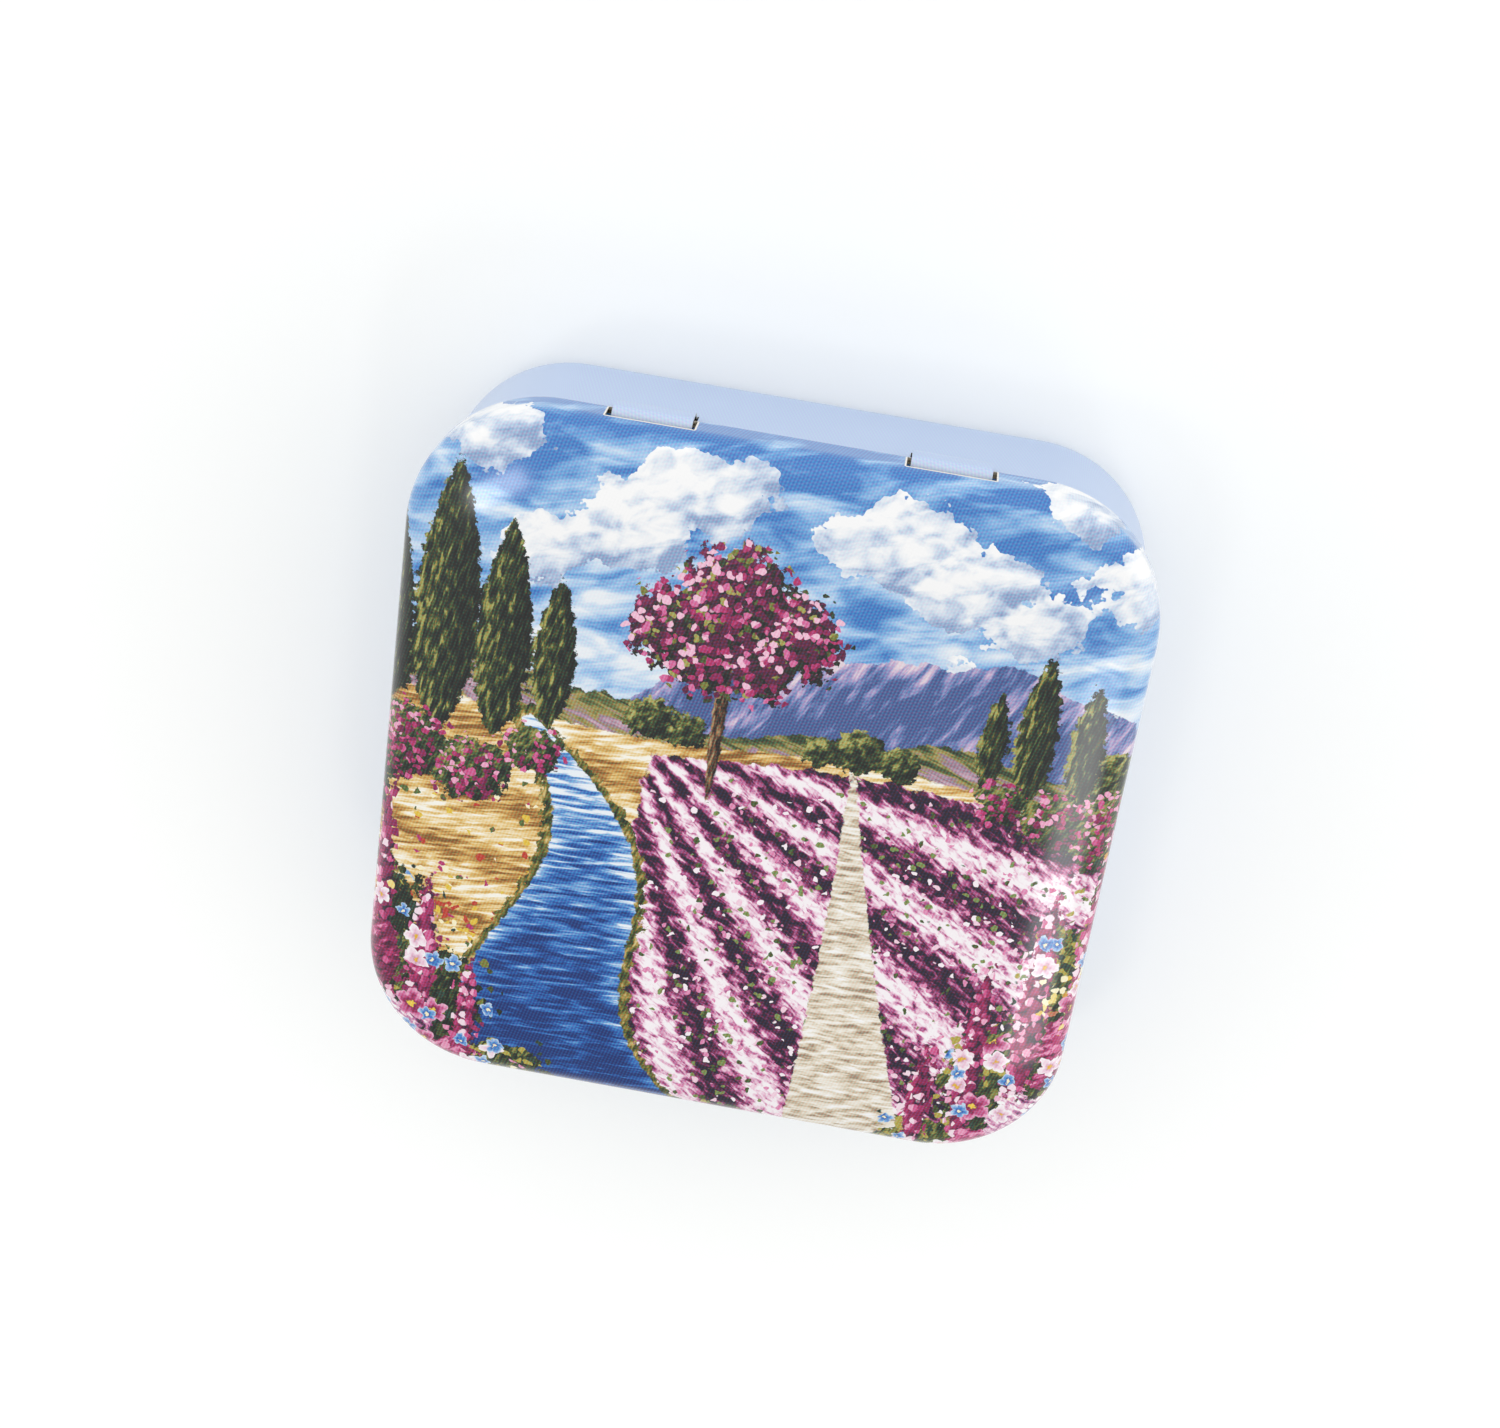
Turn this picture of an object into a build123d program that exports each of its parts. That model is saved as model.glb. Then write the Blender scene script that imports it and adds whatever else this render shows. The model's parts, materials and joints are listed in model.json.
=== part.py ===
from build123d import *
from math import atan2, cos, degrees, radians, sin
import os

# Square pocket tin with a hinged lid, for needles and pins: two tinplate pressings and a
# magnetic sheet. The lid hangs over a stepped neck on the base. Its rolled hem is the hinge
# pin: two tabs cut from the back wall of the base pass outside the hem, enter slots in the
# lid's skirt and curl round the hem.
#
# Millimetres and degrees. X is left to right, -Y is the front, +Y the hinge side, +Z up.
# The origin is the centre of the underside.

# Whole tin
WIDTH = 65.0  # outside of the lid, left to right
DEPTH = 65.0  # outside of the lid, front to back
HEIGHT = 21.0  # underside to the crown of the lid
CORNER_RADIUS = 12.0  # plan corners, outside of the lid
SHEET = 0.25  # thickness of the tinplate

# Lid
LID_HEIGHT = 5.8  # bottom of the hem to the crown
LID_EDGE_RADIUS = 2.2  # between skirt and top, outside
CROWN_SLOPE = 10.0  # of the domed top where it meets the edge bend
FLAT_RADIUS = 1.5  # plan corners of the flat middle, inside the dome
HEM_RADIUS = 0.65  # rolled hem, outside
HEM_WRAP = 292.0  # of the roll, from the foot of the skirt

# Base
BASE_INSET = 0.6  # wall, inside the lid's outer face
BASE_EDGE_RADIUS = 3.0  # between wall and underside, outside
FOOT_WIDTH = 3.0  # flat ring that the tin stands on
PANEL_RISE = 0.4  # of the bottom panel, inside the foot
PANEL_STEP_WIDTH = 1.2  # from foot to panel
SHOULDER_HEIGHT = 1.7  # the wall steps in to the neck over this height
SHOULDER_TOP = 0.4  # above the bottom of the hem
NECK_GAP = 0.35  # between hem and neck
NECK_HEIGHT = 3.5  # above the bottom of the hem
NECK_CURL_BORE = 0.2  # rolled edge of the neck, inside radius
NECK_CURL_WRAP = 280.0

# Hinge
TAB_SPACING = 25.5  # between the middles of the two tabs
TAB_WIDTH = 6.9
TAB_LEAN_HEIGHT = 2.2  # a tab leans out, past the hem, over this height
TAB_WRAP = 230.0  # of the curl round the hem
HINGE_GAP = 0.05  # running clearance between tab and hem
SLOT_GAP = 0.35  # between a tab's edge and the end of its slot
SLOT_RISE = 3.0  # top of the slots, above the bottom of the hem
RELIEF_DEPTH = 2.65  # of the cuts beside a tab, below the bottom of the hem
RELIEF_WIDTH = 0.12

# Magnetic sheet
MAGNET_THICKNESS = 0.6
MAGNET_MARGIN = 0.6  # inside the edge of the bottom panel

# Places worked out from the sizes. Those in R are measured outward from the line that a
# plan corner turns about, which lid and base share.
CORNER_X = WIDTH / 2 - CORNER_RADIUS
CORNER_Y = DEPTH / 2 - CORNER_RADIUS
MID = SHEET / 2
HEM_Z = HEIGHT - LID_HEIGHT
HINGE_Z = HEM_Z + HEM_RADIUS
HINGE_R = CORNER_RADIUS - HEM_RADIUS
HINGE_Y = CORNER_Y + HINGE_R
NECK_R = HINGE_R - HEM_RADIUS - NECK_GAP
NECK_CURL_RADIUS = NECK_CURL_BORE + SHEET
TAB_R = CORNER_RADIUS + HINGE_GAP + SHEET
WALL_R = CORNER_RADIUS - BASE_INSET
PANEL_R = WALL_R - BASE_EDGE_RADIUS - FOOT_WIDTH - PANEL_STEP_WIDTH
RELIEF_Z = HEM_Z - RELIEF_DEPTH


def jog(run, step):
    """Turn and mid-sheet radius of the two equal bends that step a sheet sideways."""
    half_turn = atan2(step, run)
    return degrees(2 * half_turn), run / (2 * sin(2 * half_turn))


def bent_sheet(start, heading, moves):
    """Section of bent sheet, drawn along its middle line from start.

    A move is ("line", length) or ("bend", mid-sheet radius, turn to the left).
    """
    outline = []
    place = Vector(*start)
    for kind, *size in moves:
        ahead = Vector(1, 0).rotate(Axis.Z, heading)
        left = Vector(0, 1).rotate(Axis.Z, heading)
        if kind == "line":
            end = place + ahead * size[0]
            sides = [Line(place + left * m, end + left * m) for m in (MID, -MID)]
        else:
            radius, turn = size
            side = 1 if turn > 0 else -1
            centre = place + left * radius * side
            begin = heading - 90 * side
            sides = [CenterArc(centre, radius - m * side, begin, turn) for m in (MID, -MID)]
            heading += turn
            end = centre - Vector(0, 1).rotate(Axis.Z, heading) * radius * side
        outline.append(sides)
        place = end
    ends = [Line(outline[0][0] @ 0, outline[0][1] @ 0), Line(outline[-1][0] @ 1, outline[-1][1] @ 1)]
    return make_face([edge for sides in outline for edge in sides] + ends)


def around(section):
    """Carries a section right round the plan: sides extruded, corners revolved."""
    pieces = []
    for number, (side_x, side_y) in enumerate([(1, 1), (-1, 1), (-1, -1), (1, -1)]):
        centre = Vector(side_x * CORNER_X, side_y * CORNER_Y, 0)
        outward = Vector(1, 0, 0).rotate(Axis.Z, 90 * number)
        plane = Plane(centre, x_dir=outward, z_dir=outward.cross(Vector(0, 0, 1)))
        face = plane * section
        run = 2 * (CORNER_X if number % 2 else CORNER_Y)
        pieces.append(extrude(face, run, dir=plane.z_dir))
        pieces.append(revolve(face, Axis(centre, (0, 0, 1)), 90))
    return Part() + pieces


def plate(corner, bottom, thickness):
    """Flat plate with rounded corners that turn about the tin's own corner lines."""
    outline = RectangleRounded(2 * (CORNER_X + corner), 2 * (CORNER_Y + corner), corner)
    return extrude(Pos(0, 0, bottom) * outline, thickness)


def at_tabs(piece):
    """Copies of a piece at both tabs."""
    return [Pos(side * TAB_SPACING / 2, 0, 0) * piece for side in (-1, 1)]


def hinge_tab():
    """Up from the wall, out past the hem, then in through the slot and round the hem."""
    lean, lean_radius = jog(TAB_LEAN_HEIGHT, TAB_R - WALL_R)
    moves = [
        ("bend", lean_radius, -lean),
        ("bend", lean_radius, lean),
        ("line", HINGE_Z - RELIEF_Z - TAB_LEAN_HEIGHT),
        ("bend", HEM_RADIUS + HINGE_GAP + MID, TAB_WRAP),
    ]
    section = bent_sheet((CORNER_Y + WALL_R - MID, RELIEF_Z), 90, moves)
    upright = Plane((-TAB_WIDTH / 2, 0, 0), x_dir=(0, 1, 0), z_dir=(1, 0, 0))
    return extrude(upright * section, TAB_WIDTH, dir=(1, 0, 0))


def base_shell():
    """Drawn tray: raised bottom panel, foot, wall, stepped neck with a curled edge, tabs."""
    drop, drop_radius = jog(PANEL_STEP_WIDTH, PANEL_RISE)
    lean, lean_radius = jog(SHOULDER_HEIGHT, WALL_R - NECK_R)
    neck_foot = HEM_Z + SHOULDER_TOP
    moves = [
        ("bend", drop_radius, -drop),
        ("bend", drop_radius, drop),
        ("line", FOOT_WIDTH),
        ("bend", BASE_EDGE_RADIUS - MID, 90),
        ("line", neck_foot - SHOULDER_HEIGHT - BASE_EDGE_RADIUS),
        ("bend", lean_radius, lean),
        ("bend", lean_radius, -lean),
        ("line", HEM_Z + NECK_HEIGHT - NECK_CURL_RADIUS - neck_foot),
        ("bend", NECK_CURL_BORE + MID, NECK_CURL_WRAP),
    ]
    section = bent_sheet((PANEL_R, PANEL_RISE + MID), 0, moves)
    shell = around(section) + plate(PANEL_R, PANEL_RISE, SHEET)
    inner_y = CORNER_Y + NECK_R - 2 * NECK_CURL_RADIUS - SHEET
    notch = Box(
        TAB_WIDTH + 2 * RELIEF_WIDTH,
        CORNER_Y + WALL_R + SHEET - inner_y,
        NECK_HEIGHT + RELIEF_DEPTH + SHEET,
        align=(Align.CENTER, Align.MIN, Align.MIN),
    )
    return shell - at_tabs(Pos(0, inner_y, RELIEF_Z) * notch) + at_tabs(hinge_tab())


def lid_shell():
    """Drawn lid: domed top, edge bend, skirt with two slots, hem rolled inward."""
    edge_radius = LID_EDGE_RADIUS - MID
    slope = radians(CROWN_SLOPE)
    dome_width = CORNER_RADIUS - MID - edge_radius * (1 - sin(slope)) - FLAT_RADIUS
    dome_radius = dome_width / sin(slope)
    skirt_top = HEIGHT - MID - dome_radius * (1 - cos(slope)) - edge_radius * cos(slope)
    moves = [
        ("bend", dome_radius, -CROWN_SLOPE),
        ("bend", edge_radius, CROWN_SLOPE - 90),
        ("line", skirt_top - HINGE_Z),
        ("bend", HEM_RADIUS - MID, -HEM_WRAP),
    ]
    section = bent_sheet((FLAT_RADIUS, HEIGHT - MID), 0, moves)
    shell = around(section) + plate(FLAT_RADIUS, HEIGHT - SHEET, SHEET)
    slot = Box(
        TAB_WIDTH + 2 * SLOT_GAP,
        2 * SHEET,
        HEM_Z + SLOT_RISE - HINGE_Z,
        align=(Align.CENTER, Align.MIN, Align.MIN),
    )
    slot_y = HINGE_Y + HEM_RADIUS - SHEET - HINGE_GAP
    return shell - at_tabs(Pos(0, slot_y, HINGE_Z) * slot)


def magnetic_sheet():
    """Thin flexible magnet that lies on the bottom panel and holds needles."""
    return plate(PANEL_R - MAGNET_MARGIN, PANEL_RISE + SHEET, MAGNET_THICKNESS)


os.makedirs("parts", exist_ok=True)
export_step(base_shell(), "parts/base_shell.step")
export_step(lid_shell(), "parts/lid_shell.step")
export_step(magnetic_sheet(), "parts/magnetic_sheet.step")
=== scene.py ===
import json
import bpy
import numpy as np
from mathutils import Matrix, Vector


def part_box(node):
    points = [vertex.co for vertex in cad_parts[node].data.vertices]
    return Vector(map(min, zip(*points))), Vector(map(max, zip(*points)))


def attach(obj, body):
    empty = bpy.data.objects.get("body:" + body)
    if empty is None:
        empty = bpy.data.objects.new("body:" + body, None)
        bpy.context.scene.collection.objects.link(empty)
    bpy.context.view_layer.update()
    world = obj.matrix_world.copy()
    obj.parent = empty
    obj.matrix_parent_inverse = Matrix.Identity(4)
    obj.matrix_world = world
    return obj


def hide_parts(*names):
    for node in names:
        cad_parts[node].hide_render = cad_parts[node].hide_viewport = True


# Square pocket tin with a hinged lid. The shapes below are worked out in millimetres, in the
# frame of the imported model, and turned to metres as they become meshes.
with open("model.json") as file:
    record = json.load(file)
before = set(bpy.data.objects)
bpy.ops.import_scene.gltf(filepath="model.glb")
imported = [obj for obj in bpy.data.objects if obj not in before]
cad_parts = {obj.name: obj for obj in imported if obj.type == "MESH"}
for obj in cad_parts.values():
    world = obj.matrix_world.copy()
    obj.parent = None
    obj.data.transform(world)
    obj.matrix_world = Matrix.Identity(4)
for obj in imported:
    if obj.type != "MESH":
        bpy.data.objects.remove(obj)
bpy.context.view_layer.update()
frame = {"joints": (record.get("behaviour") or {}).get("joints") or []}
mm = 0.001

lidLow, lidHigh = (np.array(corner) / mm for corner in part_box("lid_shell"))
magnetLow, magnetHigh = (np.array(corner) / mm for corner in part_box("magnetic_sheet"))
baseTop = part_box("base_shell")[1][2] / mm
hinge = np.array(frame["joints"][0]["pos_m"]) / mm

tin = {
    "sheet": 0.25,  # tinplate
    "corner": 12.0,  # plan corners, outside of the lid
    "tabSpacing": 25.5,
    "tabWidth": 6.9,
    "slotWidth": 7.6,
    "reliefWidth": 0.12,
    "columnStep": 0.85,  # at most, between the columns of a grid along a side
    "cornerColumns": 22,
    "sharpAngle": 40,  # degrees between two faces, from which the edge shows
}
half = tin["sheet"] / 2
cornerX = lidHigh[0] - tin["corner"]
cornerY = lidHigh[1] - tin["corner"]


def bentPath(start, heading, moves):
    # Middle line of bent sheet. Each move (size, turn, steps) goes on where the last one ended:
    # turn 0 is a straight run of that size, any other turn an arc of that radius, left being +.
    angle = np.radians(heading)
    points = [np.array([start], float)]
    lefts = [np.array([[-np.sin(angle), np.cos(angle)]])]
    for size, turn, steps in moves:
        t = np.linspace(0, 1, steps + 1)[1:, None]
        place, left = points[-1][-1], lefts[-1][-1]
        angles = angle + np.radians(turn) * t
        turned = np.hstack([-np.sin(angles), np.cos(angles)])
        if turn:
            points.append(place + np.sign(turn) * size * (left - turned))
        else:
            points.append(place + size * t * np.array([left[1], -left[0]]))
        lefts.append(turned)
        angle = angles[-1, 0]
    return np.vstack(points), np.vstack(lefts)


def rowsOf(moves):
    # How many rows of a grid the moves of a bent path take up
    return sum(steps for _, _, steps in moves)


def lengthAlong(path):
    # How far each point of a section lies from its first one, along the sheet
    return np.append(0, np.cumsum(np.linalg.norm(np.diff(path, axis=0), axis=1)))


def stepped(stops, step):
    # Evenly filled stretches between fixed stops, none longer than step
    parts = []
    for a, b in zip(stops, stops[1:]):
        parts.append(np.linspace(a, b, int(np.ceil((b - a) / step)) + 1)[:-1])
    return np.append(np.concatenate(parts), stops[-1])


def planColumns(backStops):
    # Once round the plan from the right side, anticlockwise. A column has the point that it is
    # measured from, on a side or at a corner's centre, and the way outwards from there.
    anchors, outwards = [], []
    for quarter in range(4):
        angle = quarter * np.pi / 2
        outward = np.array([np.cos(angle), np.sin(angle)])
        tangent = np.array([-outward[1], outward[0]])
        reach = abs(outward @ [cornerX, cornerY])
        length = abs(tangent @ [cornerX, cornerY])
        stops = backStops if quarter == 1 else []
        along = stepped([-length, *stops, length], tin["columnStep"])[:, None]
        anchors.append(reach * outward + along * tangent)
        outwards.append(np.repeat(outward[None], len(along), 0))
        turn = angle + np.linspace(0, np.pi / 2, tin["cornerColumns"] + 2)[1:-1, None]
        anchors.append(np.repeat((reach * outward + length * tangent)[None], len(turn), 0))
        outwards.append(np.hstack([np.cos(turn), np.sin(turn)]))
    return np.vstack(anchors), np.vstack(outwards)


def carried(path, lefts, anchors, outwards):
    # A section (distance out, height) carried round the plan: point = anchor + out * outward,
    # and its normal is the section's, turned the same way.
    flat = anchors + path[..., :1] * outwards
    normal = lefts[..., :1] * outwards
    height, rise = (np.broadcast_to(part[..., 1], flat.shape[:2]) for part in (path, lefts))
    return np.dstack([flat, height]), np.dstack([normal, rise])


def centred(points, normals, rings, height):
    # More rows inside the first one, which shrink evenly to a pole on the middle of the plan
    share = np.linspace(0, 1, rings + 1)[:-1, None, None]
    inner = points[:1] * share
    inner[..., 2] = height
    return np.concatenate([inner, points]), np.concatenate([np.repeat(normals[:1], rings, 0), normals])


def addObject(name, data):
    made = bpy.data.objects.new(name, data)
    bpy.context.scene.collection.objects.link(made)
    return made


def sheetMesh(name, middle, normals, keep, thickness, sides, attributes):
    # Closed sheet from a grid of its middle surface: point = middle + or - normal * thickness / 2.
    # The columns are joined up and the first row is the pole. Faces: first side, second side, and
    # a wall on every edge beside a cell that is not kept.
    rows, columns = middle.shape[:2]
    count = rows * columns
    index = np.arange(count).reshape(rows, columns)
    index[0] = 0
    beside = np.roll(index, -1, 1)
    cells = np.stack([index[:-1], index[1:], beside[1:], beside[:-1]], -1)
    missing = ~keep
    none = np.zeros((1, columns), bool)
    openEdges = [
        np.roll(missing, 1, 1),
        np.concatenate([missing[1:], ~none]),
        np.roll(missing, -1, 1),
        np.concatenate([none, missing[:-1]]),
    ]
    walls = []
    for edge, gone in enumerate(openEdges):
        a, b = cells[keep & gone][:, edge], cells[keep & gone][:, (edge + 1) % 4]
        walls.append(np.stack([b, a, a + count, b + count], -1))
    fan = cells[0][keep[0]][:, :3]
    quads = cells[1:][keep[1:]]
    sets = [(fan, 0), (fan[:, ::-1] + count, 1), (quads, 0), (quads[:, ::-1] + count, 1)]
    sets.append((np.vstack(walls), 2))
    faces = [face for group, _ in sets for face in group.tolist()]
    slots = np.concatenate([np.full(len(group), slot) for group, slot in sets])
    offset = normals * thickness / 2
    places = np.concatenate([middle + offset, middle - offset]).reshape(-1, 3)
    used, corners = np.unique(np.concatenate(faces), return_inverse=True)
    ends = np.cumsum([len(face) for face in faces])[:-1]
    mesh = bpy.data.meshes.new(name)
    mesh.from_pydata((places[used] * mm).tolist(), [], [part.tolist() for part in np.split(corners, ends)])
    mesh.polygons.foreach_set("material_index", slots.astype(np.int32))
    for key, values in attributes.items():
        both = np.concatenate([values, values]).reshape(2 * count, -1)[used]
        kind, field = ("FLOAT_VECTOR", "vector") if both.shape[1] == 3 else ("FLOAT", "value")
        mesh.attributes.new(key, kind, "POINT").data.foreach_set(field, both.astype(np.float32).ravel())
    mesh.shade_smooth()
    mesh.set_sharp_from_angle(angle=np.radians(tin["sharpAngle"]))
    for material in sides:
        mesh.materials.append(material)
    mesh.validate()
    return addObject(name, mesh)


def toLinear(hexColour):
    # sRGB hex to the linear values that the shaders take, by the two parts of the sRGB curve
    channels = np.array([int(hexColour[i:i + 2], 16) for i in (0, 2, 4)]) / 255
    linear = np.where(channels <= 0.04045, channels / 12.92, ((channels + 0.055) / 1.055) ** 2.4)
    return (*linear.tolist(), 1.0)


def addNode(tree, kind, links=None, operation=None, **settings):
    # A node with its settings and its inputs. An input is a number, a colour or another node,
    # whose first output is taken, and is named or numbered as on the node.
    node = tree.nodes.new("ShaderNode" + kind)
    if operation:
        node.operation = operation
    for key, value in settings.items():
        setattr(node, key, value)
    for key, value in (links or {}).items():
        shown = [socket for socket in node.inputs if socket.enabled]
        socket = shown[key] if isinstance(key, int) else next(s for s in shown if s.name == key)
        if isinstance(value, bpy.types.Node):
            value = next(s for s in value.outputs if s.enabled)
        if isinstance(value, bpy.types.NodeSocket):
            tree.links.new(value, socket)
        else:
            socket.default_value = value
    return node


def newMaterial(name, surfaceInputs):
    # A material whose one surface has the inputs that a function gives for its node tree
    material = bpy.data.materials.new(name)
    material.use_nodes = True
    tree = material.node_tree
    tree.nodes.clear()
    surface = addNode(tree, "BsdfPrincipled", surfaceInputs(tree))
    addNode(tree, "OutputMaterial", {"Surface": surface})
    return material


# The lid's picture is on the flat sheet, before it is pressed: u to the right and v to the back,
# in mm from the middle. A skyline is its rise above the horizon, its slope, and its waves (height,
# length, phase). A shade is its value at the outline, and the depth over which it changes by 1.
picture = {
    "horizon": 5.5,
    "foreground": 40,  # below the horizon, where near is 1
    "nearest": 1.2,
    "skyShade": (0.16, 90),
    "mountain": (7, 0.11, [(3.2, 10, 0.6), (1.1, 3.9, 2), (0.4, 1.5, 0)]),
    "mountainShade": (0, -40),
    "folds": (0.1, 2.6, 1.9, 4, 1.1),  # of the mountain: depth and lengths
    "hill": (2.7, -0.05, [(1.5, 7.5, -1), (0.5, 2.3, 0)]),
    "hillShade": (-0.1, 20),
    "plain": (0, 0, [(0.5, 6, 0)]),
    "gusts": (0.1, 5),  # depth and length of the bands in the wheat
    "rowsMeet": (-13, 2.5),  # where the rows of flowers would meet, v from the horizon
    "rowsApart": 30,  # phase for each radian round that point
    "rowsLeft": (-9, 0.1, 0.7),  # left edge: u, slope, and depth for each mm inside it
    "path": {"line": (9, 5, 0), "width": (0.3, 5.8, 1.3)},
    "stream": {"line": (-20, 11, 4), "width": (0.5, 9.5, 0.9)},
    "streamShade": (0.1, -0.3),  # at the horizon, and the change to the foreground
    "shallows": (2, 0.05),  # width, and shade for each mm
    "grassWidth": 0.9,  # beside the stream
    "behind": {"rows": 1.2, "path": 0.3, "stream": 0.2},  # from the far edge of the plain
    "innerDepth": 3,  # to which a heap gets paler
    "pointedLight": 0.12,
    "mostLight": 1.2,
}

# Rounded heaps are (u, v, radius). Each kind has how far it is flattened, how strongly it is lit,
# how much paler it is for each mm of depth, and its places.
heaps = {
    "cloud": (1.5, 0.1, 0.03, [
        (-13, 24, 6), (-7, 28, 5.6), (-20, 21, 4.6), (-26, 31, 5), (9.5, 26.5, 6), (16, 24, 5.4),
        (21.5, 21, 4), (31, 26, 5), (25, 33, 5), (12, 12.5, 3.6), (18, 14, 4.4), (24, 13, 3.4),
    ]),
    "copse": (1.2, 0.1, 0, [
        (-9, 7, 2.4), (-5.8, 6.4, 1.9), (6, 6.6, 1.7), (9.2, 7.2, 2.4), (12.8, 6.5, 2), (31, 8, 3.4),
        (-35, 8, 5),
    ]),
    "crown": (1.0, 0.1, 0, [
        (-3.2, 19, 4.8), (-8.2, 16, 3.7), (2.2, 16.4, 3.9), (-5.4, 13.6, 3.2), (-0.4, 13.4, 3),
    ]),
    "shrub": (1.2, 0.1, 0, [
        (-31, 0.5, 4.4), (-24.5, -1, 3.6), (-19, 2, 2.6), (-37, -4, 5.5), (22, 4.6, 2.2), (27, 3.6, 3.2),
        (33, 3, 5),
    ]),
    "bank": (1.1, 0.1, 0, [
        (-35, -17, 7.5), (-30, -26, 8.5), (-20, -35, 6.5), (36, -12, 8), (32, -24, 9.5), (24, -35, 7.5),
        (-1, -38.5, 5.5), (4, -37, 4.5), (38, -2, 6), (-39, -7, 5),
    ]),
    "rose": (1.0, 0.08, 0, [(-33, -22, 4.2), (-24, -33, 3.6), (34, -20, 4.4), (37, -7, 3.6), (27, -33, 4)]),
    "pale": (1.0, 0.08, 0, [
        (-29, -29, 3), (-36, -13, 3), (30, -28, 3.4), (37, -14, 3), (0, -38, 3.6), (37, 2, 3),
    ]),
    "gold": (1.0, 0.08, 0, [
        (-34, -15, 2.6), (-18, -36, 3), (33, -14, 3), (22, -37, 3), (5, -37, 3), (36, 0, 2.6),
    ]),
}

# Pointed shapes are (u, foot v, height, half width)
spikes = {
    "cypress": [
        (-33, 4, 18, 2.4), (-27.8, 2.5, 25, 3.0), (-22.6, 3, 20, 2.5), (-18, 4.6, 14, 1.9),
        (20.4, 6, 9, 1.3), (24, 5, 14, 1.8), (28.4, 5.4, 11.5, 1.6),
    ],
    "trunk": [(-3.2, -0.5, 26, 0.62)],
    "spire": [
        (20, -34, 14, 0.9), (24.2, -31, 20, 1.15), (28.6, -27, 24, 1.25), (33, -22, 24, 1.2),
        (36.6, -14, 20, 1.1), (-22.5, -32, 12, 0.95), (-27, -28, 16, 1.1), (-31.6, -23, 18, 1.15),
        (-36, -16, 17, 1.1),
    ],
}


def skyline(u, shape):
    # v = horizon + rise + slope * u + the sum of height * sin(u / length + phase)
    rise, slope, waves = shape
    line = picture["horizon"] + rise + slope * u
    for height, length, phase in waves:
        line = line + height * np.sin(u / length + phase)
    return line


def ribbon(u, near, shape):
    # Depth = half width - distance from the middle line. The half width is start + spread *
    # near ^ power, and the line is first + drift * near + sway * sin(6 near).
    first, drift, sway = shape["line"]
    start, spread, power = shape["width"]
    line = first + drift * near + sway * np.sin(6 * near)
    return start + spread * near ** power - np.abs(u - line)


def deepest(depths, lights):
    # The greatest depth at each place, and the light on the shape that it belongs to
    lit = np.take_along_axis(lights, depths.argmax(0)[None], 0)[0]
    return depths.max(0), np.clip(lit, -picture["mostLight"], picture["mostLight"])


def heaped(u, v, squash, places):
    # Rounded heaps: depth = radius - distance from the middle, which counts more upwards if they
    # are squashed. The light is how far it is to the upper left, in radii.
    places = np.array(places)[..., None, None]
    across, up = u - places[:, 0], (v - places[:, 1]) * squash
    return deepest(places[:, 2] - np.hypot(across, up), (up - across) / places[:, 2])


def pointed(u, v, places):
    # Upright pointed shapes: depth = widest * sin(pi * rise ^ 0.8) ^ 0.7 - distance from the
    # middle line, and less than 0 past the foot and the tip. The light is on the left.
    places = np.array(places)[..., None, None]
    rise = np.clip((v - places[:, 1]) / places[:, 2], 0, 1)
    aside = u - places[:, 0]
    width = places[:, 3] * np.sin(np.pi * rise ** 0.8) ** 0.7
    beyond = np.abs(v - places[:, 1] - places[:, 2] / 2) - places[:, 2] / 2
    depths = np.where(beyond > 0, -np.maximum(beyond, np.abs(aside) / 2), width - np.abs(aside))
    return deepest(depths, -aside / places[:, 3])


def pictureFields(u, v):
    # The printed landscape as smooth fields over the flat sheet. Each has the depth in mm inside
    # its outline, its shade, and the phase of its stripes.
    none = np.zeros_like(u)
    below = picture["horizon"] - v
    near = np.clip(below / picture["foreground"], 0, picture["nearest"])
    start, fade = picture["skyShade"]
    fields = {"sky": (none, start + below / fade, none)}
    rugged, across, up, bend, fine = picture["folds"]
    folds = np.sin(u / across - v / up + np.sin(u / bend)) + 0.5 * np.sin(u / fine + v)
    for name, relief in (("mountain", rugged * folds), ("hill", none)):
        start, fade = picture[name + "Shade"]
        depth = skyline(u, picture[name]) - v
        fields[name] = (depth, start + depth / fade + relief, none)
    plain = skyline(u, picture["plain"]) - v
    gust, length = picture["gusts"]
    fields["wheat"] = (plain, gust * np.sin(u / length + v), none)
    behind = {name: plain - gap for name, gap in picture["behind"].items()}
    meetU, meetV = picture["rowsMeet"]
    leftU, slope, steepness = picture["rowsLeft"]
    phase = picture["rowsApart"] * np.arctan2(u - meetU, below + meetV)
    fields["rows"] = (np.minimum(behind["rows"], (u - leftU - slope * v) * steepness), none, phase)
    fields["path"] = (np.minimum(behind["path"], ribbon(u, near, picture["path"])), none, none)
    stream = np.minimum(behind["stream"], ribbon(u, near, picture["stream"]))
    fields["bankEdge"] = (stream + picture["grassWidth"], none, none)
    start, change = picture["streamShade"]
    width, paler = picture["shallows"]
    shade = start + change * near + paler * np.clip(width - stream, 0, width)
    fields["stream"] = (stream, shade, none)
    for name, (squash, light, inner, places) in heaps.items():
        depth, lit = heaped(u, v, squash, places)
        fields[name] = (depth, light * lit + inner * np.clip(depth, 0, picture["innerDepth"]), none)
    for name, places in spikes.items():
        depth, lit = pointed(u, v, places)
        fields[name] = (depth, picture["pointedLight"] * lit, none)
    return {"field_" + name: np.dstack(parts) for name, parts in fields.items()}


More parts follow.
